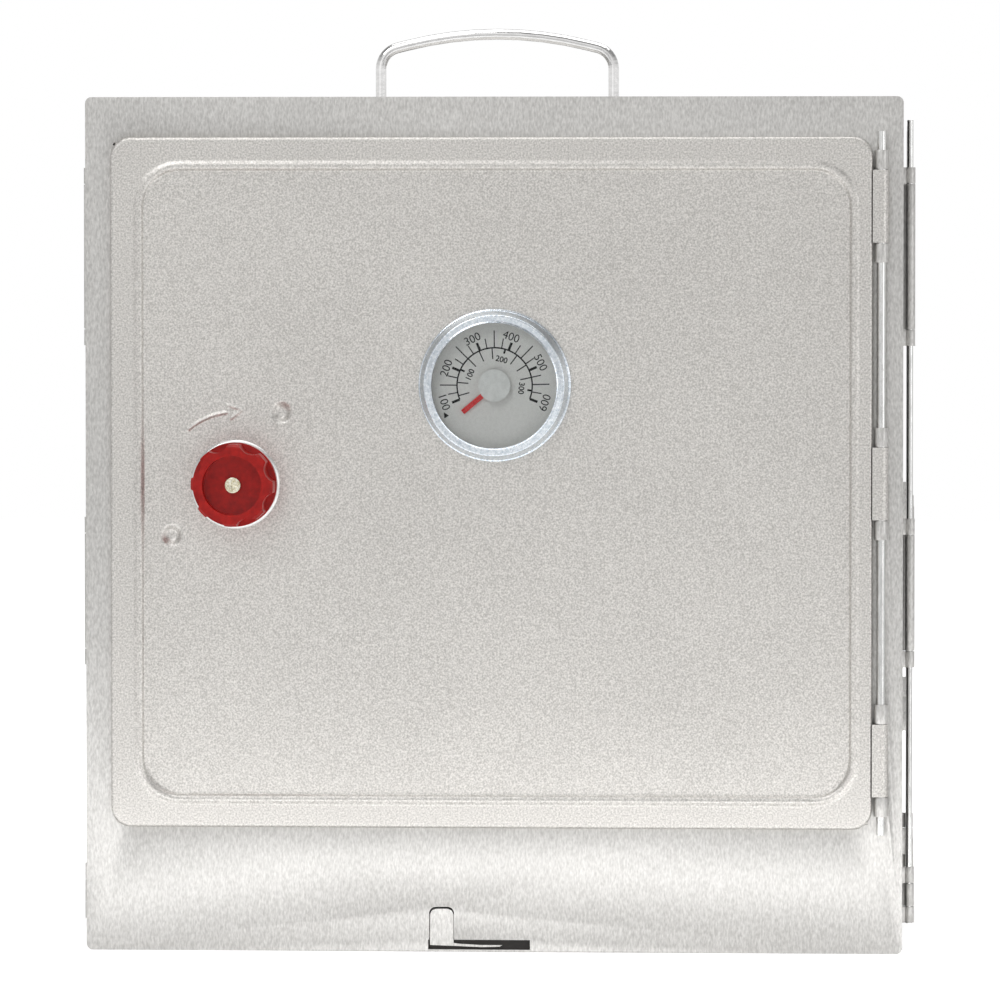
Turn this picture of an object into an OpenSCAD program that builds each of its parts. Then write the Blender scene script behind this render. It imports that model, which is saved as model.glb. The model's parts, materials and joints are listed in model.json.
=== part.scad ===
// Folding camp oven: a box of sheet steel that folds flat behind its front frame.
// Every module is drawn with the frame's face at y = 0 and the oven behind it (+y), then
// placed() moves it so that the origin is the middle of the base. Millimetres.

/* [Body] */
// Width of the front frame
frame_w = 305; // [295:1:320]
// Height of the front frame
frame_h = 319; // [312:1:330]
// Depth of the set-up oven, from the frame's face to the back
body_d = 301; // [280:1:308]
// Thickness of the steel sheet
sheet = 0.8; // [0.6:0.1:0.9]
// Corner radius of the front frame's face
frame_corner_r = 2.4; // [1:0.2:4]
// Depth of the front frame, as far as the wall hinges
frame_d = 34; // [34:1:38]
// Depth of the back tray, behind its wall hinges
tray_d = 14; // [12:1:18]
// How far the walls and the back tray stay below the frame's top
wall_drop = 8; // [7:0.5:10]
// How far the walls and the back tray stay above the floor
wall_lift = 7; // [7:0.5:10]

/* [Wall hinges] */
// Radius of the hinge wires
wire_r = 1.2; // [1:0.1:1.2]
// Running clearance of a wire in its knuckles, on the radius
wire_gap = 0.05; // [0.02:0.01:0.08]
// Outer radius of the rolled knuckles
knuckle_r = 1.95; // [1.8:0.05:2]
// How far the hinge wires stand outside the walls
hinge_out = 2.5; // [2.4:0.1:3]
// Length of each end loop of a hinge group
loop_len = 6; // [4:0.5:7]
// Gap between neighbouring knuckles
knuckle_gap = 0.3; // [0.2:0.05:0.5]

/* [Wall channels] */
// Heights of the pressed rack channels
channel_z = [80, 160, 240];
// Height of one channel
channel_h = 7; // [5:0.5:10]
// How far a channel is pressed outward
channel_out = 1.4; // [1:0.1:1.6]
// Space between a channel's end and the wall's edge
channel_end = 16; // [12:1:30]

/* [Top and bottom panels] */
// Distance of the top panel's hinge wire behind the face
top_hinge_y = 26; // [26:0.5:27]
// Distance of the bottom panel's hinge wire behind the face
bottom_hinge_y = 18; // [17:0.5:18]
// Height of the panels' turned edges
panel_edge = 6; // [4:0.5:6]
// Side clearance between the panels and the walls
panel_side_gap = 0.8; // [0.6:0.1:1.5]
// Gap between the panels' far edge and the back tray's hinge line
panel_end_gap = 2.5; // [2:0.5:5]
// Width of one hinge group of the panels
panel_group_w = 40; // [30:1:60]
// Distance of the outer hinge groups from the middle
panel_group_x = 100; // [70:1:110]
// Border round the pressed field of the panels and the back
field_border = 32; // [20:1:50]
// Depth of the pressed fields
field_depth = 1; // [0.5:0.1:1.5]
// Corner radius of the pressed fields
field_corner_r = 12; // [6:1:20]

/* [Door] */
// Gap between the door's left edge and the frame's left edge
door_left_gap = 9.9; // [8:0.5:20]
// Gap between the door's top edge and the frame's top
door_top_gap = 15.1; // [12:0.5:24]
// Height of the door's lower edge above the floor
door_z = 46.7; // [42:0.5:50]
// Corner radius of the door
door_r = 7.5; // [4:0.5:12]
// Distance from the frame's face to the door's front
door_proud = 5.5; // [5.5:0.1:6.5]
// Width of the door's raised border
door_border = 12; // [8:0.5:20]
// How far the door's middle lies behind its border
door_recess = 1.2; // [0.6:0.1:1.8]
// Corner radius of the door's recessed middle
door_field_r = 14; // [8:1:20]
// How far the door overlaps the frame's opening
door_lap = 8; // [5:0.5:10]
// Distance from the door hinge wire to the frame's right edge
door_pin_inset = 8.1; // [7.5:0.1:9]
// Radius of the door hinge wire
door_wire_r = 1.6; // [1.3:0.1:1.6]
// Outer radius of the door's rolled knuckles
door_knuckle_r = 2.6; // [2.4:0.1:2.6]
// Length of each of the door's knuckles
door_knuckle_len = 27; // [20:1:32]
// Length of each frame loop beside a door knuckle
door_loop_len = 7; // [5:0.5:9]
// Gap between the door's edge and its hinge wire's axis
door_edge_gap = 3.3; // [3.2:0.1:4]

/* [Thermometer] */
// Middle of the thermometer, to the right of the frame's middle
gauge_x = 0.9; // [-20:0.1:20]
// Middle of the thermometer, below the frame's top
gauge_drop = 107.3; // [90:0.1:130]
// Outer radius of the bezel
bezel_r = 28.5; // [27:0.5:32]
// Radius of the case behind the bezel
case_r = 24; // [20:0.5:25]
// Height of the bezel in front of the door
bezel_h = 6; // [5:0.5:8]
// Depth of the case behind the door's front
case_d = 13; // [10:0.5:13]
// Radius of the needle's hub
hub_r = 6; // [4:0.5:8]
// Length of the needle from its axis
needle_len = 15.5; // [10:0.5:20]
// Width of the needle
needle_w = 1.9; // [1:0.1:3]
// Angle of the needle at rest, from the right, anticlockwise
needle_angle = 220; // [200:1:240]

/* [Latch] */
// Middle of the latch knob, from the door's left edge
knob_inset = 46.7; // [44:0.1:48]
// Middle of the latch knob, above the door's lower edge
knob_up = 128; // [60:1:180]
// Radius of the knob
knob_r = 15.7; // [13:0.1:18]
// Length of the knob
knob_h = 15; // [12:0.5:20]
// Scallops round the knob
knob_scallops = 8; // [6:1:12]
// Radius of the recess in the knob's front
knob_recess_r = 11; // [9:0.5:12]
// Radius of the latch shaft
shaft_r = 4; // [3:0.1:5]
// Length of the latch arm
arm_len = 46; // [42:0.5:48]
// Width of the latch arm
arm_w = 10; // [7:0.5:12]
// Thickness of the latch arm
arm_t = 1.6; // [1.2:0.1:2]
// Upper stop dent, from the knob's middle
stop_up = [17.1, 26.9];
// Lower stop dent, from the knob's middle
stop_down = [-23.9, -19];
// Radius of a stop dent
dent_r = 4.5; // [3:0.1:5]
// Depth of a stop dent
dent_depth = 2.2; // [1:0.1:2.4]

/* [Handle] */
// Distance between the handle's legs
handle_w = 87; // [70:1:110]
// Offset of the handle from the frame's middle
handle_x = 0.9; // [-3:0.1:3]
// Height of the handle above the frame
handle_up = 25.5; // [24:0.5:40]
// Radius of the handle's wire
handle_r = 2; // [1.5:0.1:2.2]
// Bend radius at the handle's corners
handle_bend = 8; // [5:0.5:12]
// Slope of the handle's top beside its corners, in degrees
handle_slope = 14; // [6:1:20]
// Straight run between the handle's corners and its crown
handle_run = 4; // [2:0.5:8]
// Length of the turned-out ends
handle_toe = 8; // [5:0.5:12]
// Distance of the handle behind the face
handle_y = 12; // [9:0.5:12]

/* [Rack] */
// Width of the wire rack
rack_w = 254; // [220:1:270]
// Depth of the wire rack
rack_d = 250; // [200:1:255]
// Radius of the rack's rim wire
rim_r = 1.6; // [1.2:0.1:1.7]
// Radius of the rack's cross wires
rod_r = 1.2; // [1:0.1:1.2]
// Number of cross wires
rods = 12; // [8:1:20]
// Corner radius of the rack's rim
rack_corner_r = 12; // [6:1:20]
// Width of a rack clip
clip_w = 14; // [8:1:20]
// Distance of the rack clips from the rack's front and back
clip_inset = 60; // [40:1:90]

/* [Hidden] */
$fn = 48;

eps = 0.01;
half_w = frame_w / 2;
bore_r = wire_r + wire_gap;

// Wall hinges: the front, middle and rear wires of each side, seen from above
pin_x = half_w + hinge_out;
wall_len = (body_d - frame_d - tray_d) / 2;
mid_y = frame_d + wall_len;
rear_y = frame_d + 2 * wall_len;
wall_z0 = wall_lift + 1.3;
wall_z1 = frame_h - wall_drop - 1.3;
// Corner between a tray's flange and a folded wall: the flange stops short of the wire,
// and the wall is notched round the flange's loops
flange_stop = hinge_out + sheet + 0.4;
notch_run = hinge_out + sheet + 0.9;
ear_over = 1;
ear_in = 1.5;
hinge_groups = [
    [wall_z0 + 0.4, wall_z0 + 21.4],
    [105, 161],
    [frame_h - 93, frame_h - 26]
];
wire_z0 = wall_z0 + 0.2;
wire_z1 = wall_z1 + 1;

// Top and bottom panels
panel_x = half_w - sheet - panel_side_gap;
panel_end = rear_y - panel_end_gap;
panel_start = knuckle_r + 0.35;
top_pin = [top_hinge_y, frame_h - knuckle_r];
bottom_pin = [bottom_hinge_y, knuckle_r];
panel_groups = [-panel_group_x, 0, panel_group_x];

// Door and its hinge
door_pin = [half_w - door_pin_inset, door_knuckle_r - door_proud];
door_x1 = door_pin.x - door_edge_gap;
door_x0 = door_left_gap - half_w;
door_z1 = frame_h - door_top_gap;
door_bore_r = door_wire_r + wire_gap;
door_back = -0.5;
panel_y = door_recess - door_proud;
door_knuckle_z = [for (share = [0.1, 0.5, 0.9]) door_z + share * (door_z1 - door_z)];
opening = [[door_x0 + door_lap, door_z + door_lap], [door_x1 - door_lap + 3, door_z1 - door_lap]];

gauge_at = [gauge_x, frame_h - gauge_drop];
knob_at = [door_x0 + knob_inset, door_z + knob_up];

// Latch, measured along the knob's axis from the door's recessed front
arm_z = -(sheet + 0.5 - panel_y);
sleeve_r = shaft_r + 2;
knob_z = sheet + 0.2;
knob_floor = knob_z + knob_h - 6;
shaft_end = knob_floor - 3;
dent_foot_r = dent_r + sheet / 2;
lug_gap = 0.3;
function stop_turn(stop) = asin((arm_w / 2 + dent_foot_r + lug_gap) / norm(stop));
arm_rest = atan2(stop_up.y, stop_up.x) + stop_turn(stop_up);
arm_locked = 360 + atan2(stop_down.y, stop_down.x) - stop_turn(stop_down);
echo(latch_travel = arm_locked - arm_rest);

// Handle: the centre line is two legs, two corner arcs, two short runs and a crown arc
handle_top = frame_h + handle_up - handle_r;
crown_r = (handle_w / 2 - handle_bend - handle_run * cos(handle_slope)) / sin(handle_slope)
    + handle_bend;
crown_z = handle_top - crown_r;
corner_z = crown_z + (crown_r - handle_bend) * cos(handle_slope) - handle_run * sin(handle_slope);
toe_bend = handle_r + 1;
// The turned-out toes rest against the underside of the top flange
toe_z = frame_h - sheet - handle_r - 0.3;

// Rack, lying on the bottom panel
rack_y0 = bottom_hinge_y + panel_start + 4;
rim_z = sheet + rim_r + 0.05;
rod_z = rim_z + rim_r + rod_r - 0.3;

module placed() {
    translate([0, -body_d / 2, 0]) children();
}

module block(lo, hi) {
    translate(lo) cube(hi - lo);
}

// A flat shape stood upright: its own x and y become x and z, from y = 0 back to y = t
module upright(t) {
    translate([0, t, 0]) rotate([90, 0, 0]) linear_extrude(t) children();
}

module rounded(lo, hi, r) {
    translate([lo.x + r, lo.y]) square([hi.x - lo.x - 2 * r, hi.y - lo.y]);
    translate([lo.x, lo.y + r]) square([hi.x - lo.x, hi.y - lo.y - 2 * r]);
    for (x = [lo.x + r, hi.x - r], y = [lo.y + r, hi.y - r]) translate([x, y]) circle(r);
}

// Local z points out of the door, from the door's recessed front
module on_door(at) {
    translate([at.x, panel_y, at.y]) rotate([90, 0, 0]) children();
}

module rod_x(x0, x1, y, z, r) {
    translate([x0, y, z]) rotate([0, 90, 0]) cylinder(h = x1 - x0, r = r);
}

// Wall hinge parts, drawn for the left side
function loops_of(group) = [[group[0], group[0] + loop_len], [group[1] - loop_len, group[1]]];
function middle_of(group) =
    [group[0] + loop_len + knuckle_gap, group[1] - loop_len - knuckle_gap];
loop_ranges = [for (group = hinge_groups) each loops_of(group)];
middle_ranges = [for (group = hinge_groups) middle_of(group)];

module both_sides() {
    children();
    mirror([1, 0, 0]) children();
}

// Knuckles on a tray or wall edge. dir is the side of the wire that the sheet lies on, and
// over is how far the strip runs past the wire.
module wall_ears(y, dir, ranges, run, over) {
    for (range = ranges) {
        translate([-pin_x, y, range[0]]) cylinder(h = range[1] - range[0], r = knuckle_r);
        near = y - dir * over;
        far = y + dir * run;
        block([-half_w, min(near, far), range[0]], [sheet - half_w, max(near, far), range[1]]);
        bridge = y + dir * knuckle_r;
        block([ear_in - half_w - hinge_out, min(near, bridge), range[0]],
              [sheet - half_w, max(near, bridge), range[1]]);
    }
}

module wall_bores(y) {
    translate([-pin_x, y, 0]) cylinder(h = frame_h, r = bore_r);
}

module wall_wire(y) {
    translate([-pin_x, y, wire_z0]) cylinder(h = wire_z1 - wire_z0, r = wire_r);
}

// The half wall between the front wire and the middle wire
module half_wall(middle_ears) {
    difference() {
        union() {
            difference() {
                block([-half_w, frame_d + 0.5, wall_z0], [sheet - half_w, mid_y - 0.3, wall_z1]);
                for (range = loop_ranges)
                    block([-half_w - 1, frame_d, range[0] - knuckle_gap],
                          [1 - half_w, frame_d + notch_run, range[1] + knuckle_gap]);
            }
            wall_ears(frame_d, 1, middle_ranges, notch_run, ear_over);
            wall_ears(mid_y, -1, middle_ears, 3, -0.3);
            for (z = channel_z)
                block([-half_w - channel_out, frame_d + channel_end, z],
                      [eps - half_w, mid_y - channel_end, z + channel_h]);
        }
        wall_bores(frame_d);
        wall_bores(mid_y);
        for (z = channel_z)
            block([sheet - half_w - channel_out, frame_d + channel_end + sheet, z + sheet],
                  [1 - half_w, mid_y - channel_end - sheet, z + channel_h - sheet]);
    }
}

module rear_half_wall() {
    translate([0, 2 * mid_y, 0]) mirror([0, 1, 0]) half_wall(middle_ranges);
}

// Panel hinge parts. The wire runs along x at pin = [y, z]; up is 1 where the sheet lies
// above the wire and -1 where it lies below.
function panel_loops(x) =
    [[x - panel_group_w / 2, x - panel_group_w / 2 + loop_len],
     [x + panel_group_w / 2 - loop_len, x + panel_group_w / 2]];
function panel_middle(x) =
    [x - panel_group_w / 2 + loop_len + knuckle_gap, x + panel_group_w / 2 - loop_len - knuckle_gap];

module panel_ears(pin, dir, up, ranges) {
    z_skin = pin[1] + up * knuckle_r;
    z_inner = z_skin - up * sheet;
    for (range = ranges) {
        rod_x(range[0], range[1], pin[0], pin[1], knuckle_r);
        far = pin[0] + dir * (panel_start + 0.5);
        block([range[0], min(pin[0], far), min(z_skin, z_inner)],
              [range[1], max(pin[0], far), max(z_skin, z_inner)]);
    }
}

module panel_bore(pin) {
    rod_x(-half_w, half_w, pin[0], pin[1], bore_r);
}

module panel_wire(pin) {
    reach = panel_group_x + panel_group_w / 2 + 3;
    rod_x(-reach, reach, pin[0], pin[1], wire_r);
}

// A shallow pan with turned edges and a pressed field, skin at z = 0, edges towards -z
module pan(y0, y1, edge) {
    difference() {
        block([-panel_x, y0, -edge], [panel_x, y1, 0]);
        block([sheet - panel_x, y0 + sheet, -edge - 1], [panel_x - sheet, y1 - sheet, -sheet]);
        translate([0, 0, -field_depth]) linear_extrude(field_depth + 1)
            rounded([field_border - panel_x, y0 + field_border],
                    [panel_x - field_border, y1 - field_border], field_corner_r);
    }
    translate([0, 0, -field_depth - sheet]) linear_extrude(field_depth + eps)
        rounded([field_border - panel_x - sheet, y0 + field_border - sheet],
                [panel_x - field_border + sheet, y1 - field_border + sheet],
                field_corner_r + sheet);
}

module top_panel() {
    color("silver") placed() difference() {
        union() {
            translate([0, 0, frame_h]) pan(top_hinge_y + panel_start, panel_end, panel_edge);
            for (x = panel_groups) panel_ears(top_pin, 1, 1, [panel_middle(x)]);
        }
        panel_bore(top_pin);
    }
}

module bottom_panel() {
    color("silver") placed() difference() {
        union() {
            difference() {
                block([-panel_x, bottom_hinge_y + panel_start, 0], [panel_x, panel_end, panel_edge]);
                block([sheet - panel_x, bottom_hinge_y + panel_start + sheet, sheet],
                      [panel_x - sheet, panel_end - sheet, panel_edge + 1]);
            }
            for (x = panel_groups) panel_ears(bottom_pin, 1, -1, [panel_middle(x)]);
        }
        panel_bore(bottom_pin);
    }
}

module top_panel_wire() {
    color("gray") placed() panel_wire(top_pin);
}

module bottom_panel_wire() {
    color("gray") placed() panel_wire(bottom_pin);
}

// Front frame: face, flanges, hinge loops, handle holes and the slot at the foot
door_loops = [for (z = door_knuckle_z, dir = [-1, 1])
    let (near = z + dir * (door_knuckle_len / 2 + knuckle_gap), far = near + dir * door_loop_len)
    [min(near, far), max(near, far)]];

module front_frame() {
    slot_x = [-24.3, 13.8];
    slot_z = [0.8, 4.5];
    notch_x = [-23.9, -14.6];
    notch_top = 16.8;
    notch_r = 2.5;
    tab_inset = 1.4;
    tab_y = 3;
    opening_r = 9;
    flange_end = frame_d - flange_stop;
    color("lightgray") placed() difference() {
        union() {
            upright(sheet) difference() {
                rounded([-half_w, 0], [half_w, frame_h], frame_corner_r);
                rounded(opening[0], opening[1], opening_r);
                translate([slot_x[0], slot_z[0]])
                    square([slot_x[1] - slot_x[0], slot_z[1] - slot_z[0]]);
                translate([notch_x[0], slot_z[0] + 1])
                    square([notch_x[1] - notch_x[0], notch_top - notch_r - slot_z[0] - 1]);
                rounded([notch_x[0], notch_top / 2], [notch_x[1], notch_top], notch_r);
                for (range = door_loops)
                    translate([door_pin.x - door_knuckle_r + sheet, range[0]])
                        square([2 * (door_knuckle_r - sheet), range[1] - range[0]]);
            }
            // Turned edge all round, then the deeper side and top flanges
            upright(bottom_hinge_y - panel_start) difference() {
                rounded([-half_w, 0], [half_w, frame_h], frame_corner_r);
                rounded([sheet - half_w, sheet], [half_w - sheet, frame_h - sheet],
                        frame_corner_r - sheet);
            }
            both_sides() {
                block([-half_w, bottom_hinge_y / 2, frame_corner_r],
                      [sheet - half_w, flange_end, frame_h - frame_corner_r]);
                wall_ears(frame_d, -1, loop_ranges, flange_stop + eps, ear_over);
            }
            block([frame_corner_r - half_w, bottom_hinge_y / 2, frame_h - sheet],
                  [half_w - frame_corner_r, top_hinge_y - panel_start, frame_h]);
            for (x = panel_groups) {
                panel_ears(top_pin, -1, 1, panel_loops(x));
                panel_ears(bottom_pin, -1, -1, panel_loops(x));
            }
            // Loops round the door's wire, lanced out of the face
            for (range = door_loops) {
                translate([door_pin.x, door_pin.y, range[0]])
                    cylinder(h = range[1] - range[0], r = door_knuckle_r);
                for (x = [door_pin.x - door_knuckle_r, door_pin.x + door_knuckle_r - sheet])
                    block([x, door_pin.y, range[0]], [x + sheet, sheet, range[1]]);
            }
            // Tab turned up behind the notch
            block([notch_x[0] + tab_inset, tab_y, 0],
                  [notch_x[1] - tab_inset, tab_y + sheet, notch_top - 2 * tab_inset]);
        }
        both_sides() wall_bores(frame_d);
        panel_bore(top_pin);
        panel_bore(bottom_pin);
        translate([door_pin.x, door_pin.y, 0]) cylinder(h = frame_h, r = door_bore_r);
        for (x = [-1, 1])
            translate([handle_x + x * handle_w / 2, handle_y, frame_h - 2])
                cylinder(h = 4, r = handle_r + 0.3);
    }
}

module door_hinge_wire() {
    z0 = door_loops[0][0] - 7;
    z1 = door_loops[len(door_loops) - 1][1] + 7;
    color("silver") placed()
        translate([door_pin.x, door_pin.y, z0]) cylinder(h = z1 - z0, r = door_wire_r);
}

module front_wall_wires() {
    color("gray") placed() both_sides() wall_wire(frame_d);
}

module left_middle_wire() {
    color("gray") placed() wall_wire(mid_y);
}

module right_middle_wire() {
    color("gray") placed() mirror([1, 0, 0]) wall_wire(mid_y);
}

module rear_wall_wires() {
    color("gray") placed() both_sides() wall_wire(rear_y);
}

module left_front_wall() {
    color("gainsboro") placed() half_wall(loop_ranges);
}

module left_rear_wall() {
    color("gainsboro") placed() rear_half_wall();
}

module right_front_wall() {
    color("gainsboro") placed() mirror([1, 0, 0]) half_wall(loop_ranges);
}

module right_rear_wall() {
    color("gainsboro") placed() mirror([1, 0, 0]) rear_half_wall();
}

module back_tray() {
    z0 = wall_lift + 0.2;
    z1 = frame_h - wall_drop - 0.2;
    y_back = body_d - sheet;
    color("lightgray") placed() difference() {
        union() {
            difference() {
                block([-half_w, rear_y + flange_stop, z0], [half_w, body_d, z1]);
                block([sheet - half_w, rear_y, z0 + sheet], [half_w - sheet, y_back, z1 - sheet]);
            }
            for (z = [z0, z1 - sheet])
                block([sheet - half_w, rear_y - 2, z], [half_w - sheet, body_d, z + sheet]);
            translate([0, y_back - field_depth, 0]) upright(field_depth + sheet)
                rounded([field_border - half_w - sheet, z0 + field_border - sheet],
                        [half_w - field_border + sheet, z1 - field_border + sheet],
                        field_corner_r + sheet);
            both_sides() wall_ears(rear_y, 1, loop_ranges, flange_stop + eps, ear_over);
        }
        translate([0, body_d - field_depth, 0]) upright(field_depth + 1)
            rounded([field_border - half_w, z0 + field_border],
                    [half_w - field_border, z1 - field_border], field_corner_r);
        both_sides() wall_bores(rear_y);
    }
}

// Strips under the back tray's corners that carry it at the frame's height
module rear_feet() {
    z1 = wall_lift + 0.2;
    color("lightgray") placed() both_sides()
        block([-half_w, rear_y + flange_stop, 0], [sheet - half_w, body_d, z1]);
}

// The handle's centre line as [x, z, direction], from the right toe round to the left one
function arc_steps(middle, r, from, to, turn) =
    [for (i = [0:8]) let (a = from + (to - from) * i / 8)
        [middle[0] + r * cos(a), middle[1] + r * sin(a), a + turn]];
handle_path = let (leg = handle_w / 2, toe = leg + toe_bend, shoulder = leg - handle_bend) concat(
    [[leg + handle_toe, toe_z, 180]],
    arc_steps([toe, toe_z + toe_bend], toe_bend, 270, 180, -90),
    arc_steps([shoulder, corner_z], handle_bend, 0, 90 - handle_slope, 90),
    arc_steps([0, crown_z], crown_r, 90 - handle_slope, 90 + handle_slope, 90),
    arc_steps([-shoulder, corner_z], handle_bend, 90 + handle_slope, 180, 90),
    arc_steps([-toe, toe_z + toe_bend], toe_bend, 0, -90, -90),
    [[-leg - handle_toe, toe_z, -180]]
);

module carry_handle() {
    sides = 24;
    rings = len(handle_path);
    points = [for (p = handle_path, i = [0:sides - 1]) let (a = 360 * i / sides)
        [p[0] - handle_r * cos(a) * sin(p[2]), handle_r * sin(a), p[1] + handle_r * cos(a) * cos(p[2])]];
    skin = [for (k = [0:rings - 2], i = [0:sides - 1])
        let (a = k * sides + i, b = k * sides + (i + 1) % sides)
        each [[a, b, b + sides], [a, b + sides, a + sides]]];
    caps = [[for (i = [sides - 1:-1:0]) i], [for (i = [0:sides - 1]) (rings - 1) * sides + i]];
    color("silver") placed() translate([handle_x, handle_y, 0])
        polyhedron(points, concat(skin, caps));
}

module door_panel() {
    border = [[door_x0 + door_border, door_z + door_border],
              [door_x1 - door_border + 4, door_z1 - door_border]];
    lip = [sheet, sheet];
    color("whitesmoke") placed() difference() {
        union() {
            // Turned edge, raised border and recessed middle
            translate([0, -door_proud, 0]) upright(door_proud + door_back) difference() {
                rounded([door_x0, door_z], [door_x1, door_z1], door_r);
                rounded([door_x0, door_z] + lip, [door_x1, door_z1] - lip, door_r - sheet);
            }
            translate([0, -door_proud, 0]) upright(sheet) difference() {
                rounded([door_x0, door_z], [door_x1, door_z1], door_r);
                rounded(border[0], border[1], door_field_r);
            }
            translate([0, -door_proud, 0]) upright(door_recess + sheet) difference() {
                rounded(border[0] - lip, border[1] + lip, door_field_r + sheet);
                rounded(border[0], border[1], door_field_r);
            }
            translate([0, panel_y, 0]) upright(sheet) rounded(border[0], border[1], door_field_r);
            for (stop = [stop_up, stop_down]) on_door(knob_at + stop)
                translate([0, 0, -dent_depth - sheet])
                    cylinder(h = dent_depth + sheet - eps, r1 = dent_r / 2, r2 = dent_foot_r);
            // Arrow pressed forward above the knob
            on_door(knob_at) open_arrow();
            for (z = door_knuckle_z) {
                translate([door_pin.x, door_pin.y, z - door_knuckle_len / 2])
                    cylinder(h = door_knuckle_len, r = door_knuckle_r);
                block([door_x1 - 2 * sheet, -door_proud, z - door_knuckle_len / 2],
                      [door_pin.x, sheet - door_proud, z + door_knuckle_len / 2]);
            }
        }
        for (stop = [stop_up, stop_down]) on_door(knob_at + stop)
            translate([0, 0, -dent_depth])
                cylinder(h = dent_depth + eps, r1 = dent_r / 2 - sheet / 2, r2 = dent_r);
        translate([door_pin.x, door_pin.y, 0]) cylinder(h = frame_h, r = door_bore_r);
        on_door(gauge_at) translate([0, 0, -3]) cylinder(h = 6, r = case_r + 0.3);
        on_door(knob_at) translate([0, 0, -3]) cylinder(h = 6, r = sleeve_r + 0.1);
    }
}

module open_arrow() {
    path_r = 26;
    line_w = 1.2;
    translate([0, 0, -eps]) linear_extrude(0.5) {
        intersection() {
            difference() {
                circle(path_r + line_w / 2);
                circle(path_r - line_w / 2);
            }
            polygon([[0, 0], 2 * path_r * [cos(104), sin(104)], 2 * path_r * [cos(140), sin(140)]]);
        }
        rotate([0, 0, 104]) translate([path_r, 0]) polygon([[-3, 0.5], [3, 0.5], [0.4, -6]]);
    }
}

module thermometer_bezel() {
    seat_r = case_r + 0.1;
    lip_r = case_r - 0.8;
    color("silver") placed() on_door(gauge_at) rotate_extrude()
        polygon([[seat_r, 0], [bezel_r, 0], [bezel_r, 1.2], [bezel_r - 0.9, bezel_h - 1.4],
                 [bezel_r - 2.3, bezel_h], [lip_r, bezel_h], [lip_r, bezel_h - 0.8],
                 [seat_r, bezel_h - 0.8]]);
}

module thermometer_case() {
    wall = 0.6;
    rim = bezel_h - 2;
    color("gray") placed() on_door(gauge_at) difference() {
        translate([0, 0, -case_d]) cylinder(h = case_d + rim, r = case_r);
        translate([0, 0, wall - case_d]) cylinder(h = case_d + rim, r = case_r - wall);
        translate([0, 0, -case_d - 1]) cylinder(h = 3, r = 0.85);
    }
}

module dial_face() {
    color("gainsboro") placed() on_door(gauge_at) difference() {
        translate([0, 0, 0.4]) cylinder(h = 0.5, r = case_r - 0.65);
        cylinder(h = 3, r = 1.4);
    }
}

module dial_lens() {
    color("white", 0.3) placed() on_door(gauge_at)
        translate([0, 0, bezel_h - 1.9]) cylinder(h = 1, r = case_r);
}

// Flat spiral of bimetal strip that turns the needle
module bimetal_coil() {
    turns = 4;
    inner_r = 2.4;
    pitch = 1.6;
    strip = 0.4;
    steps = 24 * turns;
    function spiral(i, offset) =
        let (a = 360 * turns * i / steps, r = inner_r + offset + pitch * turns * i / steps)
        [r * cos(a), r * sin(a)];
    color("goldenrod") placed() on_door(gauge_at) {
        translate([0, 0, 0.7 - case_d]) linear_extrude(3)
            polygon(concat([for (i = [0:steps]) spiral(i, 0)],
                           [for (i = [steps:-1:0]) spiral(i, strip)]));
        // Strip that anchors the spiral's end in the case
        outer = inner_r + pitch * turns;
        block([outer + strip - eps, -0.6, 0.7 - case_d], [case_r - 0.65, 0, 3.7 - case_d]);
    }
}

module needle_hub() {
    color("white") placed() on_door(gauge_at) {
        translate([0, 0, 1.9]) cylinder(h = 1.6, r = hub_r);
        translate([0, 0, 0.3 - case_d]) cylinder(h = case_d + 2, r = 0.8);
    }
}

module dial_needle() {
    color("red") placed() on_door(gauge_at) rotate([0, 0, needle_angle])
        translate([2, -needle_w / 2, 1.3]) cube([needle_len - 2, needle_w, 0.55]);
}

module latch_bushing() {
    color("silver") placed() on_door(knob_at) difference() {
        union() {
            cylinder(h = sheet, r = sleeve_r + 2);
            translate([0, 0, arm_z + 1]) cylinder(h = -arm_z - 1 + eps, r = sleeve_r);
        }
        translate([0, 0, arm_z]) cylinder(h = 12, r = shaft_r + wire_gap);
    }
}

module latch_nut() {
    color("silver") placed() on_door(knob_at) translate([0, 0, -sheet - 1.8]) difference() {
        cylinder(h = 1.8, r = sleeve_r + 3, $fn = 6);
        translate([0, 0, -1]) cylinder(h = 4, r = sleeve_r + 0.05);
    }
}

module latch_shaft() {
    color("silver") placed() on_door(knob_at) difference() {
        union() {
            translate([0, 0, arm_z - arm_t - 0.1]) cylinder(h = shaft_end - arm_z + arm_t + 0.1, r = shaft_r);
            translate([0, 0, arm_z - arm_t - 1.3]) cylinder(h = 1.2, r = shaft_r + 1.8);
        }
        translate([0, 0, shaft_end - 6]) cylinder(h = 10, r = 1.55);
    }
}

module latch_washer() {
    color("gray") placed() on_door(knob_at) translate([0, 0, arm_z + 0.1]) difference() {
        cylinder(h = 0.8, r = sleeve_r + 1);
        translate([0, 0, -1]) cylinder(h = 3, r = shaft_r + 0.1);
    }
}

module latch_arm() {
    lug_r = norm(stop_up);
    lug_w = 4;
    color("silver") placed() on_door(knob_at) rotate([0, 0, arm_rest])
        translate([0, 0, arm_z - arm_t]) {
            linear_extrude(arm_t) difference() {
                union() {
                    circle(shaft_r + 4);
                    translate([0, -arm_w / 2]) square([arm_len - 3, arm_w]);
                    rounded([arm_len - 12, -arm_w / 2], [arm_len, arm_w / 2], 3);
                }
                circle(shaft_r + 0.03);
            }
            // Lug bent towards the door, which meets the stop dents
            block([lug_r - lug_w / 2, -arm_w / 2, arm_t - eps],
                  [lug_r + lug_w / 2, arm_w / 2, -arm_z + arm_t - sheet - 1]);
        }
}

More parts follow.
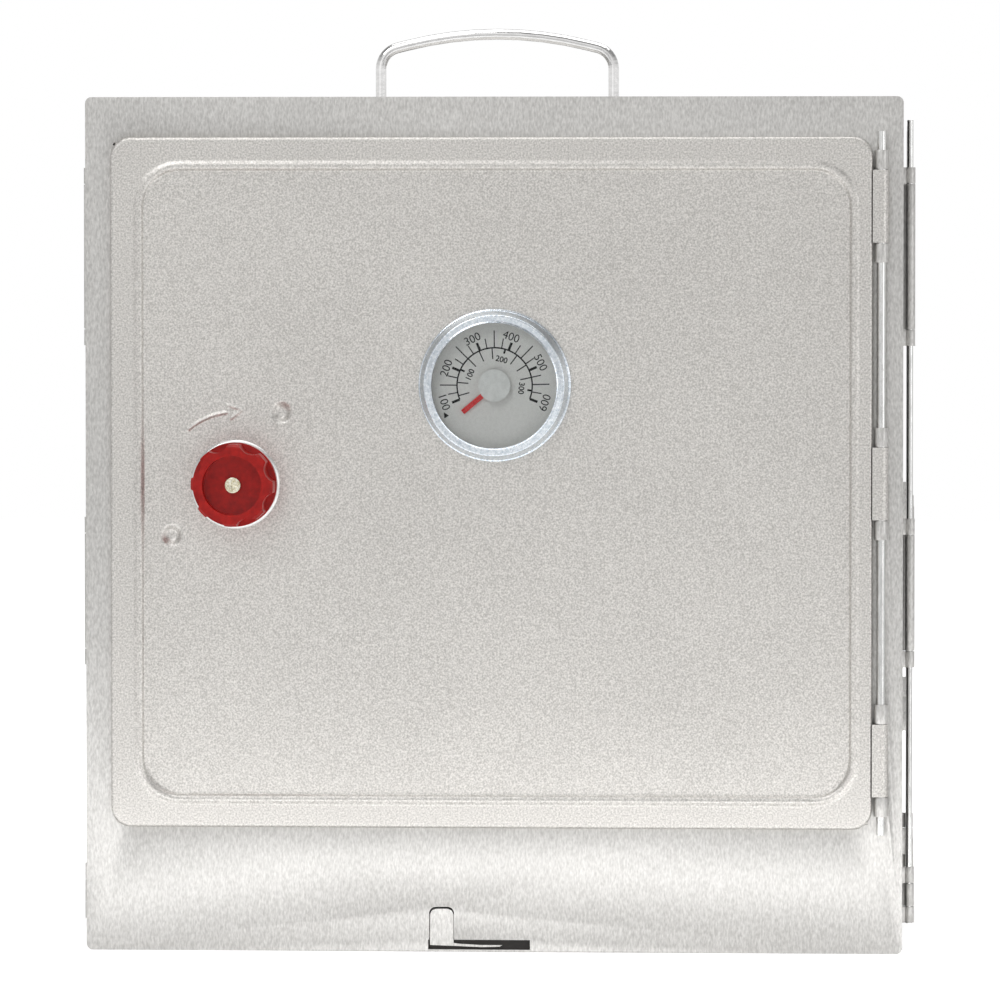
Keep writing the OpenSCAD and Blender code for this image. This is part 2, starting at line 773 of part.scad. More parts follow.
module latch_knob() {
    skirt = 3;
    color("firebrick") placed() on_door(knob_at) translate([0, 0, knob_z]) difference() {
        union() {
            cylinder(h = skirt, r = knob_r);
            translate([0, 0, skirt - eps]) cylinder(h = knob_h - skirt - 1, r = knob_r - 0.4);
            translate([0, 0, knob_h - 1 - 2 * eps])
                cylinder(h = 1 + 2 * eps, r1 = knob_r - 0.4, r2 = knob_r - 1.4);
        }
        for (i = [0:knob_scallops - 1]) rotate([0, 0, 360 * i / knob_scallops + 20])
            translate([knob_r + 2.6, 0, skirt]) cylinder(h = knob_h, r = 5.2);
        translate([0, 0, knob_floor - knob_z]) cylinder(h = knob_h, r = knob_recess_r);
        translate([0, 0, -1]) cylinder(h = 1 + shaft_end - knob_z + 0.1, r = shaft_r + 0.03);
        cylinder(h = knob_h, r = 1.6);
    }
}

module knob_screw() {
    color("gold") placed() on_door(knob_at) difference() {
        union() {
            translate([0, 0, shaft_end - 5]) cylinder(h = 5 + knob_floor - shaft_end + eps, r = 1.5);
            translate([0, 0, knob_floor]) cylinder(h = 1.5, r = 2.9);
        }
        for (turn = [0, 90]) rotate([0, 0, turn])
            block([-2, -0.35, knob_floor + 0.7], [2, 0.35, knob_floor + 2]);
    }
}

module wire_rack() {
    x1 = rack_w / 2 - rim_r;
    y0 = rack_y0 + rim_r;
    y1 = rack_y0 + rack_d - rim_r;
    bend = rack_corner_r;
    color("silver") placed() {
        translate([0, 0, rim_z]) {
            for (x = [-x1, x1])
                translate([x, y0 + bend, 0]) rotate([-90, 0, 0])
                    cylinder(h = y1 - y0 - 2 * bend, r = rim_r);
            for (y = [y0, y1]) rod_x(bend - x1, x1 - bend, y, 0, rim_r);
            for (corner = [[x1 - bend, y1 - bend, 0], [bend - x1, y1 - bend, 90],
                           [bend - x1, y0 + bend, 180], [x1 - bend, y0 + bend, 270]])
                translate([corner[0], corner[1], 0]) rotate([0, 0, corner[2]])
                    rotate_extrude(angle = 90) translate([bend, 0]) circle(rim_r);
        }
        for (i = [1:rods])
            translate([-x1 + 2 * x1 * i / (rods + 1), y0 - rim_r / 2, rod_z])
                rotate([-90, 0, 0]) cylinder(h = y1 - y0 + rim_r, r = rod_r);
    }
}

// Spring clips that hold the rack's rim down on the bottom panel
module rack_clips() {
    x1 = rack_w / 2;
    top = rim_z + rim_r + 0.1;
    foot = 8;
    color("gray") placed() both_sides()
            for (y = [rack_y0 + clip_inset, rack_y0 + rack_d - clip_inset]) {
        block([x1 + 0.15, y - clip_w / 2, sheet], [x1 + 0.85, y + clip_w / 2, top + 0.6]);
        block([x1 - 2.6, y - clip_w / 2, top], [x1 + 0.85, y + clip_w / 2, top + 0.6]);
        block([x1 + 0.15, y - clip_w / 2, sheet], [x1 + foot, y + clip_w / 2, 2 * sheet]);
    }
}

front_frame();
door_hinge_wire();
front_wall_wires();
top_panel_wire();
bottom_panel_wire();
carry_handle();
door_panel();
thermometer_bezel();
thermometer_case();
dial_face();
dial_lens();
bimetal_coil();
needle_hub();
dial_needle();
latch_bushing();
latch_nut();
latch_knob();
knob_screw();
latch_shaft();
latch_washer();
latch_arm();
top_panel();
bottom_panel();
wire_rack();
rack_clips();
left_front_wall();
left_middle_wire();
left_rear_wall();
right_front_wall();
right_middle_wire();
right_rear_wall();
back_tray();
rear_wall_wires();
rear_feet();
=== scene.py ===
"""Looks of the folding camp oven: materials, softened sheet metal, dial print, light and camera.

Lengths are millimetres unless a name says otherwise, and M turns them into metres. Stage, lamps
and camera are in metres. The origin is in the middle of the base, z is up, the door faces -y.
Flat shapes on the front are drawn in (x, z).
"""
import json
import math

import bmesh
import bpy
import numpy as np
from mathutils import Matrix, Vector


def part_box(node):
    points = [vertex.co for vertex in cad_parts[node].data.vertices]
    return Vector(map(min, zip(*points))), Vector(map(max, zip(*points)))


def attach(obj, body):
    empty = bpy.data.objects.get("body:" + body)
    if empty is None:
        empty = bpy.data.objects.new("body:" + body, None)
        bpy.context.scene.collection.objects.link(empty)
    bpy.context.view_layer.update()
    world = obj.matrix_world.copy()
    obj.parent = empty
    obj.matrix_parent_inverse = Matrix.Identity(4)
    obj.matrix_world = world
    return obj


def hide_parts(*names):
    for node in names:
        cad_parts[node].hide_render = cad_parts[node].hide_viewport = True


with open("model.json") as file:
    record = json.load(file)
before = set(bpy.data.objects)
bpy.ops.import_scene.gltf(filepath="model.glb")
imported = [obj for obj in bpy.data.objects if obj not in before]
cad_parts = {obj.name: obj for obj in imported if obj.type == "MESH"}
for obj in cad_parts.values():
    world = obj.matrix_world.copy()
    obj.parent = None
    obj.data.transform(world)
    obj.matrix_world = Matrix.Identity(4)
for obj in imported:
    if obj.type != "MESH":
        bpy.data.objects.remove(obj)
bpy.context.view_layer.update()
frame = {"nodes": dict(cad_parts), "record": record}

M = 0.001


def corner(node, end):
    """The lowest (end 0) or highest (end 1) corner of a CAD node's box at rest."""
    return [round(v / M, 2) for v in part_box(node)[end]]


def centre(node):
    """The middle of a CAD node as seen from the front."""
    low, high = corner(node, 0), corner(node, 1)
    return round((low[0] + high[0]) / 2, 2), round((low[2] + high[2]) / 2, 2)


SHEET = 0.8
HALF_W = 152.5
FRAME_H = corner("front_frame", 1)[2]

# The door's own sheet ends short of its knuckles on the right
DOOR_RIGHT = 141.1
DOOR = ((corner("door_panel", 0)[0], corner("door_panel", 0)[2]),
        (DOOR_RIGHT, corner("door_panel", 1)[2]))
DOOR_R = 7.5
# The border's front, the recessed field's front and, behind them, the front sheet's own face
DOOR_RECESS = 1.2
DOOR_RISE = 5.5
DOOR_GAP = 0.5
DOOR_FRONT = corner("door_panel", 0)[1]
PLATE_Y = DOOR_FRONT + DOOR_RECESS
FACE_Y = DOOR_FRONT + DOOR_RISE
DOOR_BACK = FACE_Y - DOOR_GAP

# The door's pressed field, with a narrower border on the hinge side
BORDER = 12.0
BORDER_RIGHT = 8.0
FIELD = ((DOOR[0][0] + BORDER, DOOR[0][1] + BORDER),
         (DOOR[1][0] - BORDER_RIGHT, DOOR[1][1] - BORDER))
FIELD_R = 14.0

# Keeps a division by a radius defined at the middle
TINY = 1e-9

GAUGE = centre("thermometer_bezel")
GAUGE_HOLE_R = 24.3
KNOB = centre("knob_screw")
KNOB_HOLE_R = 6.1
# Stop dents for the latch, from the knob's middle
DENTS = ((17.1, 26.9), (-23.9, -19.0))

# Slot and notch at the front frame's foot
SLOT = ((-24.3, 0.8), (13.8, 4.5))
NOTCH = ((-23.9, 0.8), (-14.6, 16.8))


# Materials

def new_material(name):
    mat = bpy.data.materials.new(name)
    mat.use_nodes = True
    tree = mat.node_tree
    tree.nodes.clear()
    return mat, tree


def add(tree, kind, **values):
    node = tree.nodes.new(kind)
    for key, value in values.items():
        if hasattr(node, key):
            setattr(node, key, value)
        else:
            node.inputs[key.replace("_", " ")].default_value = value
    return node


def map_range(tree, value, span, result):
    """The value, with its run from one end of span to the other laid onto result's."""
    node = add(tree, "ShaderNodeMapRange")
    names = ("From Min", "From Max", "To Min", "To Max")
    for name, number in zip(names, (*span, *result)):
        node.inputs[name].default_value = number
    tree.links.new(value, node.inputs["Value"])
    return node.outputs["Result"]


def calc(tree, operation, *values, clamp=False):
    """A math node's result, from the outputs of other nodes."""
    node = add(tree, "ShaderNodeMath", operation=operation, use_clamp=clamp)
    for value, socket in zip(values, node.inputs):
        tree.links.new(value, socket)
    return node.outputs["Value"]


def noise(tree, stretch, scale, detail=3.0, roughness=0.6):
    """A noise value in the object's own space, stretched along its axes."""
    where = add(tree, "ShaderNodeTexCoord")
    scaled = add(tree, "ShaderNodeMapping")
    scaled.inputs["Scale"].default_value = stretch
    grain = add(tree, "ShaderNodeTexNoise", Scale=scale, Detail=detail, Roughness=roughness)
    tree.links.new(where.outputs["Object"], scaled.inputs["Vector"])
    tree.links.new(scaled.outputs["Vector"], grain.inputs["Vector"])
    return grain.outputs["Fac"]


def ramp(tree, value, low, high, start=0.3, end=0.7):
    node = add(tree, "ShaderNodeValToRGB")
    node.color_ramp.elements[0].position = start
    node.color_ramp.elements[1].position = end
    node.color_ramp.elements[0].color = (*low, 1)
    node.color_ramp.elements[1].color = (*high, 1)
    tree.links.new(value, node.inputs["Fac"])
    return node.outputs["Color"]


def surface(name, low, high, metallic, rough, stretch=(1, 1, 1), scale=900, bump=0.0,
            bump_mm=0.03, start=0.3, end=0.7, cloud=0.0, **extra):
    """A principled material whose colour, roughness and relief all follow a procedural grain."""
    mat, tree = new_material(name)
    out = add(tree, "ShaderNodeOutputMaterial")
    body = add(tree, "ShaderNodeBsdfPrincipled")
    grain = noise(tree, stretch, scale)
    colour = ramp(tree, grain, low, high, start, end)
    if cloud:
        cloud_scale = 14
        slow = noise(tree, (1, 1, 1), cloud_scale, detail=2)
        shade = ramp(tree, slow, (1 - cloud,) * 3, (1, 1, 1))
        mix = add(tree, "ShaderNodeMix", data_type="RGBA", blend_type="MULTIPLY")
        mix.inputs["Factor"].default_value = 1.0
        tree.links.new(colour, mix.inputs["A"])
        tree.links.new(shade, mix.inputs["B"])
        colour = mix.outputs["Result"]
    tree.links.new(colour, body.inputs["Base Color"])
    body.inputs["Metallic"].default_value = metallic
    tree.links.new(map_range(tree, grain, (0, 1), rough), body.inputs["Roughness"])
    if bump:
        relief = add(tree, "ShaderNodeBump", Strength=bump, Distance=bump_mm * M)
        tree.links.new(grain, relief.inputs["Height"])
        tree.links.new(relief.outputs["Normal"], body.inputs["Normal"])
    for key, value in extra.items():
        body.inputs[key.replace("_", " ")].default_value = value
    tree.links.new(body.outputs["BSDF"], out.inputs["Surface"])
    return mat


def clear_glass(name):
    """Thin clear glass with a weak, slightly smeared shine."""
    mat, tree = new_material(name)
    out = add(tree, "ShaderNodeOutputMaterial")
    clear = add(tree, "ShaderNodeBsdfTransparent", Color=(0.97, 0.98, 0.98, 1))
    shine = add(tree, "ShaderNodeBsdfGlossy", Color=(1, 1, 1, 1))
    smear = noise(tree, (1, 1, 1), 60)
    rough = map_range(tree, smear, (0, 1), (0.02, 0.08))
    edge = add(tree, "ShaderNodeFresnel", IOR=1.22)
    mix = add(tree, "ShaderNodeMixShader")
    tree.links.new(rough, shine.inputs["Roughness"])
    tree.links.new(edge.outputs["Fac"], mix.inputs["Fac"])
    tree.links.new(clear.outputs["BSDF"], mix.inputs[1])
    tree.links.new(shine.outputs["BSDF"], mix.inputs[2])
    tree.links.new(mix.outputs["Shader"], out.inputs["Surface"])
    return mat


FINE_GRAIN = dict(scale=1500, bump=0.25, bump_mm=0.02)
MATERIALS = {
    "dial_glass": clear_glass("dial_glass"),
    "aluminised_steel": surface(
        "aluminised_steel", (0.46, 0.45, 0.435), (0.70, 0.69, 0.67), 0.8, (0.34, 0.50),
        stretch=(1, 1, 0.35), cloud=0.05, **FINE_GRAIN),
    "door_steel": surface(
        "door_steel", (0.45, 0.434, 0.412), (0.79, 0.768, 0.736), 0.8, (0.36, 0.52),
        scale=1500, bump=0.6, bump_mm=0.05, start=0.34, end=0.66, cloud=0.05),
    "wire_steel": surface(
        "wire_steel", (0.58, 0.58, 0.57), (0.76, 0.76, 0.75), 1.0, (0.16, 0.30),
        stretch=(1, 1, 0.2), scale=900, bump=0.15),
    "handle_wire": surface(
        "handle_wire", (0.66, 0.655, 0.65), (0.80, 0.795, 0.79), 1.0, (0.10, 0.22),
        stretch=(0.3, 1, 1), scale=700, bump=0.08),
    "bezel_aluminium": surface(
        "bezel_aluminium", (0.50, 0.56, 0.62), (0.80, 0.83, 0.86), 1.0, (0.16, 0.30),
        scale=1100, bump=0.25, bump_mm=0.02),
    "case_steel": surface(
        "case_steel", (0.42, 0.42, 0.42), (0.58, 0.58, 0.58), 1.0, (0.3, 0.45), scale=500),
    "dial_print": surface(
        "dial_print", (0.78, 0.765, 0.74), (0.86, 0.845, 0.82), 0.1, (0.45, 0.58), scale=900,
        bump=0.08, bump_mm=0.01),
    "dial_ink": surface(
        "dial_ink", (0.006, 0.006, 0.006), (0.016, 0.015, 0.015), 0.0, (0.5, 0.65), scale=900,
        Specular_IOR_Level=0.2),
    "bimetal": surface(
        "bimetal", (0.45, 0.34, 0.17), (0.66, 0.50, 0.25), 1.0, (0.35, 0.5), scale=600),
    "hub_plastic": surface(
        "hub_plastic", (0.80, 0.80, 0.78), (0.92, 0.92, 0.90), 0.0, (0.30, 0.45), scale=500,
        bump=0.1),
    "needle_red": surface(
        "needle_red", (0.70, 0.012, 0.015), (0.86, 0.03, 0.03), 0.0, (0.35, 0.45), scale=500),
    "knob_red": surface(
        "knob_red", (0.32, 0.004, 0.003), (0.50, 0.012, 0.008), 0.0, (0.26, 0.40), scale=420,
        bump=0.22, bump_mm=0.05, Specular_IOR_Level=0.3),
    "zinc_fastener": surface(
        "zinc_fastener", (0.50, 0.44, 0.26), (0.86, 0.84, 0.74), 1.0, (0.18, 0.34), scale=900,
        bump=0.3),
    "latch_steel": surface(
        "latch_steel", (0.70, 0.70, 0.69), (0.84, 0.84, 0.83), 0.9, (0.24, 0.40), scale=700,
        bump=0.15),
    "rack_chrome": surface(
        "rack_chrome", (0.68, 0.68, 0.69), (0.80, 0.80, 0.81), 1.0, (0.10, 0.20), scale=500),
    # Painted shade: a near-black for a plate that stands in for the unlit inside behind a slot
    "shadow_gap": surface(
        "shadow_gap", (0.015, 0.013, 0.012), (0.035, 0.03, 0.028), 0.0, (0.6, 0.8), scale=300),
}


# Meshes and pieces

def smooth_by_angle(mesh, degrees=32):
    mesh.shade_smooth()
    mesh.set_sharp_from_angle(angle=math.radians(degrees))


def make_object(name, mesh, slot, body, ink=None):
    obj = bpy.data.objects.new(name, mesh)
    bpy.context.scene.collection.objects.link(obj)
    mesh.materials.clear()
    mesh.materials.append(MATERIALS[ink or slot])
    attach(obj, body)
    return obj


def applied(obj):
    """obj's mesh with its modifiers applied, as a new mesh."""
    bpy.context.view_layer.update()
    graph = bpy.context.evaluated_depsgraph_get()
    return bpy.data.meshes.new_from_object(obj.evaluated_get(graph))


def with_modifier(mesh, kind, **settings):
    scratch = bpy.data.objects.new("scratch", mesh)
    bpy.context.scene.collection.objects.link(scratch)
    modifier = scratch.modifiers.new(kind.lower(), kind)
    for key, value in settings.items():
        setattr(modifier, key, value)
    result = applied(scratch)
    bpy.data.objects.remove(scratch)
    return result


def clean_copy(node, keep_above_x=None):
    """The CAD node's mesh with joined vertices and merged flat faces, as a new mesh."""
    join, flat_degrees = 0.002, 0.8
    bm = bmesh.new()
    bm.from_mesh(frame["nodes"][node].data)
    bmesh.ops.remove_doubles(bm, verts=bm.verts, dist=join * M)
    if keep_above_x is not None:
        geometry = bm.verts[:] + bm.edges[:] + bm.faces[:]
        bmesh.ops.bisect_plane(bm, geom=geometry, plane_co=(keep_above_x * M, 0, 0),
                               plane_no=(1, 0, 0), clear_inner=True)
    bmesh.ops.dissolve_limit(bm, angle_limit=math.radians(flat_degrees), verts=bm.verts,
                             edges=bm.edges)
    mesh = bpy.data.meshes.new(node)
    bm.to_mesh(mesh)
    bm.free()
    if "custom_normal" in mesh.attributes:
        mesh.attributes.remove(mesh.attributes["custom_normal"])
    return mesh


SLOT_OF = {part["node"]: part["material_slot"] for part in frame["record"]["subparts"]}
BODY_OF = {node: body for body, nodes in frame["record"]["behaviour"]["bodies"].items()
           for node in nodes}


def eased(mesh, width, segments, degrees):
    """The mesh with every edge sharper than the angle rounded."""
    mesh = with_modifier(mesh, "BEVEL", width=width * M, segments=segments,
                         limit_method="ANGLE", angle_limit=math.radians(degrees),
                         use_clamp_overlap=True)
    smooth_by_angle(mesh, 40)
    return mesh


def soften(node, width, segments=2):
    """A copy of the CAD node with its edges rounded, in its place."""
    mesh = eased(clean_copy(node), width, segments, 35)
    obj = make_object(node + "_soft", mesh, SLOT_OF[node], BODY_OF[node])
    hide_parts(node)


def front_shell():
    """The front frame with its sides' and top's outer edge bent round and its cut edges eased."""
    bend_r, cut_ease = 2.1, 0.22
    near, foot, sharp = 0.01, 2.5, 0.6
    mesh = clean_copy("front_frame")
    bm = bmesh.new()
    bm.from_mesh(mesh)
    rim = []
    for edge in bm.edges:
        a, b = (v.co / M for v in edge.verts)
        on_face = abs(a.y - FACE_Y) < near and abs(b.y - FACE_Y) < near
        middle = (a + b) / 2
        at_side = abs(middle.x) > HALF_W - SHEET
        at_top = middle.z > FRAME_H - SHEET + near
        is_bend = len(edge.link_faces) == 2 and edge.calc_face_angle(0) > sharp
        if on_face and middle.z > foot and (at_side or at_top) and is_bend:
            rim.append(edge)
    bmesh.ops.bevel(bm, geom=rim, offset=bend_r * M, segments=6, profile=0.5, affect="EDGES",
                    clamp_overlap=True)
    bm.to_mesh(mesh)
    bm.free()
    mesh = eased(mesh, cut_ease, 2, 50)
    obj = make_object("front_frame_soft", mesh, "aluminised_steel", "frame")
    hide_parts("front_frame")


# Door: one pressed sheet as a fine relief

def box_distance(x, z, lo, hi, r):
    """Distance to a rounded rectangle's outline, positive inside it."""
    cx, cz = (lo[0] + hi[0]) / 2, (lo[1] + hi[1]) / 2
    qx = np.abs(x - cx) - ((hi[0] - lo[0]) / 2 - r)
    qz = np.abs(z - cz) - ((hi[1] - lo[1]) / 2 - r)
    outside = np.hypot(np.maximum(qx, 0), np.maximum(qz, 0)) + np.minimum(np.maximum(qx, qz), 0)
    return r - outside


def segment_distance(x, z, a, b):
    dx, dz = b[0] - a[0], b[1] - a[1]
    t = np.clip(((x - a[0]) * dx + (z - a[1]) * dz) / (dx * dx + dz * dz), 0, 1)
    return np.hypot(x - a[0] - t * dx, z - a[1] - t * dz)


def ease(t):
    t = np.clip(t, 0, 1)
    return t * t * (3 - 2 * t)


def arrow_segments():
    """A curved line round the knob and the outline of a head at its end, pointing clockwise."""
    path_r, start, end, step = 27.0, 131, 95, 5
    turns = [math.radians(a) for a in range(start, end, -step)]
    line = [(path_r * math.cos(a), path_r * math.sin(a)) for a in turns]
    head = [(-3.1, 29.6), (2.6, 27.9), (-1.7, 24.6), (-3.1, 29.6)]
    return list(zip(line, line[1:])) + list(zip(head, head[1:]))


def door_height(x, z):
    """How far the door's outer skin lies behind its border's front, at each point."""
    turn_r = 1.1
    edge = box_distance(x, z, *DOOR, DOOR_R)
    y = turn_r - np.sqrt(np.maximum(turn_r ** 2 - np.maximum(turn_r - edge, 0) ** 2, 0))
    # A low bead stands just outside the step down to the recessed field
    bead_out, bead_half, bead_rise = 1.6, 2.1, 0.6
    step_out, step_run = 0.5, 1.3
    field = box_distance(x, z, *FIELD, FIELD_R)
    y = y - bead_rise * ease(1 - np.abs(field + bead_out) / bead_half)
    y = y + DOOR_RECESS * ease((field + step_out) / step_run)
    dent_r, dent_run, dent_depth = 4.5, 3.1, 1.9
    kx, kz = x - KNOB[0], z - KNOB[1]
    for dent in DENTS:
        r = np.hypot(kx - dent[0], kz - dent[1])
        y = y + dent_depth * ease((dent_r - r) / dent_run)
    line_half, line_rise = 0.95, 0.5
    line = np.min([segment_distance(kx, kz, a, b) for a, b in arrow_segments()], axis=0)
    return y - line_rise * ease(1 - line / line_half)


def graded(low, high, fine_spans, coarse=2.5):
    """Grid lines from low to high, closer together inside the spans (from, to, step)."""
    slack = 1e-6
    lines, at = [low], low
    while at < high - slack:
        step = min([coarse] + [s for a, b, s in fine_spans if a - slack <= at < b])
        nexts = [a for a, b, s in fine_spans if at + slack < a < at + step]
        at = min([at + step, high] + nexts)
        lines.append(at)
    return np.array(lines)


def frame_spans(low, high, field_low, field_high):
    """Fine grid steps over the door's turned edge and the bead round its field."""
    turn, rim, bead, inner, arc = 2.4, 8, 4, 2, 15
    return [(low, low + turn, 0.3), (high - turn, high, 0.3),
            (low + turn, low + rim, 0.8), (high - rim, high - turn, 0.8),
            (field_low - bead, field_low + inner, 0.3), (field_high - inner, field_high + bead, 0.3),
            (field_low + inner, field_low + arc, 0.7), (field_high - arc, field_high - inner, 0.7)]


def shifted(middle, *spans):
    return [(middle + low, middle + high, step) for low, high, step in spans]


def door_grid():
    """The door's (x, z) points on a grid that is fine where the sheet is pressed."""
    (x0, z0), (x1, z1) = DOOR
    (fx0, fz0), (fx1, fz1) = FIELD
    gauge = (-26, 26, 1.2)
    # From the knob's middle: the left dent, the arrow and the right dent, then the same upward
    knob_x = ((-29, -19, 0.4), (-19, 5, 0.3), (12, 22, 0.4))
    knob_z = ((-24, -14, 0.4), (17, 32, 0.3))
    spans_x = frame_spans(x0, x1, fx0, fx1) + shifted(KNOB[0], *knob_x) + shifted(GAUGE[0], gauge)
    spans_z = frame_spans(z0, z1, fz0, fz1) + shifted(KNOB[1], *knob_z) + shifted(GAUGE[1], gauge)
    return np.meshgrid(graded(x0, x1, spans_x), graded(z0, z1, spans_z))


def onto_corners(x, z):
    """The points with those outside the door's rounded corners moved onto their arcs."""
    (x0, z0), (x1, z1) = DOOR
    for cx, sx in ((x0 + DOOR_R, -1), (x1 - DOOR_R, 1)):
        for cz, sz in ((z0 + DOOR_R, -1), (z1 - DOOR_R, 1)):
            dx, dz = x - cx, z - cz
            r = np.hypot(dx, dz)
            out = (dx * sx > 0) & (dz * sz > 0) & (r > DOOR_R)
            scale = np.where(out, DOOR_R / np.maximum(r, TINY), 1)
            x, z = cx + dx * scale, cz + dz * scale
    return x, z


def onto_holes(x, z):
    """The points with those near a hole's edge moved onto it, and which ones lie in a hole."""
    on_edge = 0.01
    inside = np.zeros(x.shape, bool)
    for (cx, cz), hole_r, reach in ((GAUGE, GAUGE_HOLE_R, 0.85), (KNOB, KNOB_HOLE_R, 0.6)):
        dx, dz = x - cx, z - cz
        r = np.maximum(np.hypot(dx, dz), TINY)
        scale = np.where(np.abs(r - hole_r) < reach, hole_r / r, 1)
        x, z = cx + dx * scale, cz + dz * scale
        inside |= np.hypot(x - cx, z - cz) < hole_r + on_edge
    return x, z, inside


def door_sheet():
    """The pressed sheet as a closed mesh with its turned edge."""
    x, z = onto_corners(*door_grid())
    x, z, holes = onto_holes(x, z)
    y = DOOR_FRONT + door_height(x, z)
    points = np.stack([x, y, z], -1).reshape(-1, 3) * M
    rows, cols = x.shape
    grid = np.arange(rows * cols).reshape(rows, cols)
    quads = np.stack([grid[:-1, :-1], grid[:-1, 1:], grid[1:, 1:], grid[1:, :-1]], -1)
    inside = holes[:-1, :-1] & holes[:-1, 1:] & holes[1:, 1:] & holes[1:, :-1]
    quads = quads[~inside]
    join, shortest, at_rim = 0.02, 0.01, 1
    bm = bmesh.new()
    mesh = bpy.data.meshes.new("door_skin")
    mesh.from_pydata(points.tolist(), [], quads.tolist())
    bm.from_mesh(mesh)
    bmesh.ops.remove_doubles(bm, verts=bm.verts, dist=join * M)
    bmesh.ops.dissolve_degenerate(bm, edges=bm.edges, dist=shortest * M)
    # The turned edge runs back from the outline, not from the holes
    outline = []
    for edge in bm.edges:
        if len(edge.link_faces) == 1:
            spot = (edge.verts[0].co + edge.verts[1].co) / 2 / M
            if box_distance(np.array(spot.x), np.array(spot.z), *DOOR, DOOR_R) < at_rim:
                outline.append(edge)
    turned = bmesh.ops.extrude_edge_only(bm, edges=outline)["geom"]
    for vert in (g for g in turned if isinstance(g, bmesh.types.BMVert)):
        vert.co.y = DOOR_BACK * M
    bmesh.ops.recalc_face_normals(bm, faces=bm.faces)
    bm.to_mesh(mesh)
    bm.free()
    facing = sum(p.normal.y * p.area for p in mesh.polygons)
    mesh = with_modifier(mesh, "SOLIDIFY", thickness=SHEET * M,
                         offset=-1.0 if facing < 0 else 1.0)
    smooth_by_angle(mesh, 60)
    return mesh


def door_skin():
    skin = make_object("door_skin", door_sheet(), "door_steel", "door")
    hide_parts("door_panel")
    clear = 0.03
    knuckles = clean_copy("door_panel", keep_above_x=DOOR_RIGHT + clear)
    smooth_by_angle(knuckles, 40)
    make_object("door_knuckles", knuckles, "door_steel", "door")


# Thermometer dial

INK_HEIGHT = 0.95
ARC_R = 14.0
ARC_WIDTH = 0.54
# Angles of the outer scale: its first hundred and the turn from one hundred to the next
SCALE_START = 202.0
SCALE_STEP = 44.6
HUNDREDS = 6
# The inner scale's first mark and the turn from one mark to the next
INNER_START = 196.0
INNER_STEP = 20.4


def dial_point(u, v, height):
    """A point above the door's recessed front, right and up from the gauge's middle."""
    return Vector(((GAUGE[0] + u) * M, (PLATE_Y - height) * M, (GAUGE[1] + v) * M))


def polar(r, degrees):
    a = math.radians(degrees)
    return r * math.cos(a), r * math.sin(a)


def print_ink(name, loops, height=INK_HEIGHT):
    """Flat ink on the dial, from outlines in millimetres from the gauge's middle."""
    mesh = bpy.data.meshes.new(name)
    points, faces = [], []
    for loop in loops:
        faces.append(list(range(len(points), len(points) + len(loop))))
        points += [dial_point(u, v, height) for u, v in loop]
    mesh.from_pydata(points, [], faces)
    make_object(name, mesh, "dial_print", "door", ink="dial_ink")


def tick(degrees, r0, r1, width):
    """The outline of a radial mark."""
    c, s = polar(1, degrees)
    half = width / 2
    return [(r0 * c + half * s, r0 * s - half * c), (r1 * c + half * s, r1 * s - half * c),
            (r1 * c - half * s, r1 * s + half * c), (r0 * c - half * s, r0 * s + half * c)]


def dial_number(name, text, degrees, r, size, flip=False, bold=0.0):
    """Printed figures that stand outward from the middle, or inward when flipped."""
    curve = bpy.data.curves.new(name, "FONT")
    curve.body = text
    curve.size = size * M
    curve.offset = bold * M
    curve.align_x = "CENTER"
    curve.align_y = "CENTER"
    obj = bpy.data.objects.new(name, curve)
    bpy.context.scene.collection.objects.link(obj)
    curve.materials.append(MATERIALS["dial_ink"])
    turn = math.radians(degrees) - math.pi / 2 + (math.pi if flip else 0)
    place = dial_point(*polar(r, degrees), INK_HEIGHT)
    obj.matrix_world = (Matrix.Translation(place) @ Matrix.Rotation(math.pi / 2, 4, "X")
                        @ Matrix.Rotation(turn, 4, "Z"))
    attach(obj, "door")


def dial_marks():
    # Length beyond the arc and width of a mark at each quarter of a hundred
    quarters = ((3.1, 0.95), (3.7, 0.40), (6.4, 0.42), (3.7, 0.40))
    marks = []
    for i in range(len(quarters) * (HUNDREDS - 1) + 1):
        length, width = quarters[i % len(quarters)]
        a = SCALE_START - i * SCALE_STEP / len(quarters)
        marks.append(tick(a, ARC_R, ARC_R + length, width))
    inner_marks, numbered = 11, (2, 6, 10)
    for i in range(inner_marks):
        length, width = (1.7, 0.7) if i in numbered else (4.2, 0.42)
        marks.append(tick(INNER_START - i * INNER_STEP, ARC_R - length, ARC_R, width))
    print_ink("dial_marks", marks)


def dial_arc():
    steps, below_marks = 72, 0.01
    inner, outer = ARC_R - ARC_WIDTH / 2, ARC_R + ARC_WIDTH / 2
    turn = (HUNDREDS - 1) * SCALE_STEP
    arc = [SCALE_START - turn * i / steps for i in range(steps + 1)]
    quads = [[polar(inner, a), polar(outer, a), polar(outer, b), polar(inner, b)]
             for a, b in zip(arc, arc[1:])]
    print_ink("dial_arc", quads, INK_HEIGHT - below_marks)


def dial_scale():
    dial_marks()
    dial_arc()
    # The first and last numbers stand the other way round and a little further out
    outer_r, flipped_r, outer_size = 19.0, 19.9, 4.3
    lean, first_lean, last_lean = 3, -4, 2
    leans = [first_lean] + [lean] * (HUNDREDS - 2) + [last_lean]
    for i in range(HUNDREDS):
        flip = i in (0, HUNDREDS - 1)
        dial_number(f"dial_outer_{i + 1}", str(100 * (i + 1)),
                    SCALE_START - i * SCALE_STEP + leans[i], flipped_r if flip else outer_r,
                    outer_size, flip)
    inner_r, inner_size, inner_angles = 9.9, 3.0, (157.0, 75.0, -6.0)
    for i, a in enumerate(inner_angles):
        dial_number(f"dial_inner_{i + 1}", str(100 * (i + 1)), a, inner_r, inner_size, bold=0.05)
    print_ink("dial_pointer", [[(-19.0, -10.0), (-17.0, -11.2), (-18.7, -12.3)]])


